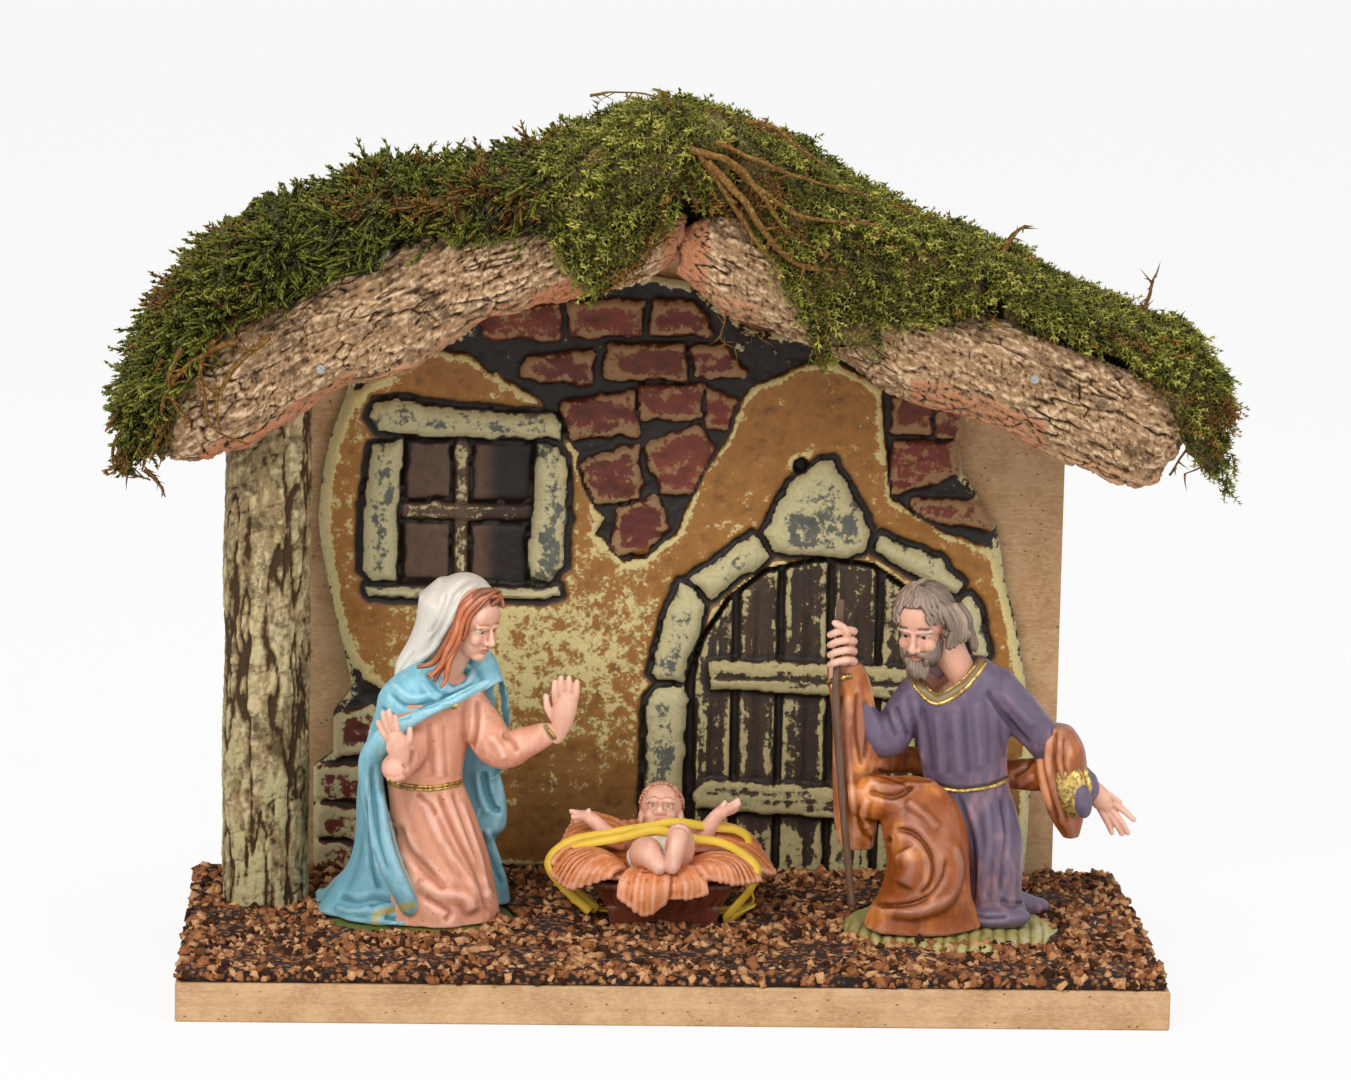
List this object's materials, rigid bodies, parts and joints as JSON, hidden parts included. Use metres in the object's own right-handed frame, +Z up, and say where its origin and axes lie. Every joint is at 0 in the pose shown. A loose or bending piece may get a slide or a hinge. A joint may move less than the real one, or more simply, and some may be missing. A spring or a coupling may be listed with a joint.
{
  "type": "nativity stable",
  "caption": "Table-top nativity stable: a fibreboard base and panel, moulded cottage wall, bark and moss roof, kneeling parents and a child in a manger.",
  "frame": {"origin": "centre of the base board's underside", "axes": "+X to the viewer's right along the front edge, +Y from the open front to the back panel, +Z up"},
  "size_m": [0.2898, 0.1308, 0.2271],
  "materials": {
    "mdf": "raw fibreboard, matt, with fine brown flecks",
    "painted_resin": "cast moulding painted ochre, dark brown in the hollows, dry-brushed pale on the ridges",
    "cork_bark": "raw grey-brown cork bark, fissured, salmon where it is cut",
    "branch_bark": "raw branch bark with a pale raised net",
    "dried_moss": "dried moss, mid green to brown",
    "cork_granules": "crushed cork, reddish brown, matt",
    "brad_steel": "bright wire",
    "hot_glue": "translucent bluish bead",
    "rose_paint": "salmon paint with a dark wash, satin",
    "blue_paint": "light blue paint, satin",
    "white_paint": "off-white paint, satin",
    "skin_paint": "flesh paint, satin",
    "green_paint": "grass green paint, matt",
    "violet_paint": "violet paint with a dark wash, satin",
    "brown_paint": "orange-brown glaze, glossy",
    "staff_brown": "dark brown paint",
    "crib_red_brown": "red-brown paint, satin",
    "straw_salmon": "salmon paint with dark lines, matt",
    "yellow_rubber": "yellow latex"
  },
  "bodies": {
    "root": {"base_board": "mdf", "back_panel": "mdf", "roof_board_left": "mdf", "roof_board_right": "mdf", "wall_relief": "painted_resin", "bark_fascia_left": "cork_bark", "bark_fascia_right": "cork_bark", "bark_post": "branch_bark", "moss_left_eave": "dried_moss", "moss_left_slope": "dried_moss", "moss_ridge": "dried_moss", "moss_right_slope": "dried_moss", "moss_right_eave": "dried_moss", "ground_cork": "cork_granules", "panel_brad_1": "brad_steel", "panel_brad_2": "brad_steel", "panel_brad_3": "brad_steel", "roof_brad_1": "brad_steel", "roof_brad_2": "brad_steel", "roof_brad_3": "brad_steel", "roof_brad_4": "brad_steel", "bark_brad_left": "brad_steel", "bark_brad_right": "brad_steel", "glue_bead": "hot_glue", "mother_base": "green_paint", "father_base": "green_paint", "mother_gown": "rose_paint", "mother_cloak": "blue_paint", "mother_veil": "white_paint", "mother_head": "skin_paint", "mother_left_hand": "skin_paint", "mother_right_hand": "skin_paint", "father_head": "skin_paint", "father_left_hand": "skin_paint", "father_right_hand": "skin_paint", "child": "skin_paint", "father_tunic": "violet_paint", "father_cloak": "brown_paint", "father_staff": "staff_brown", "manger_crib": "crib_red_brown", "manger_straw": "straw_salmon", "elastic_band": "yellow_rubber"}
  },
  "joints": []
}
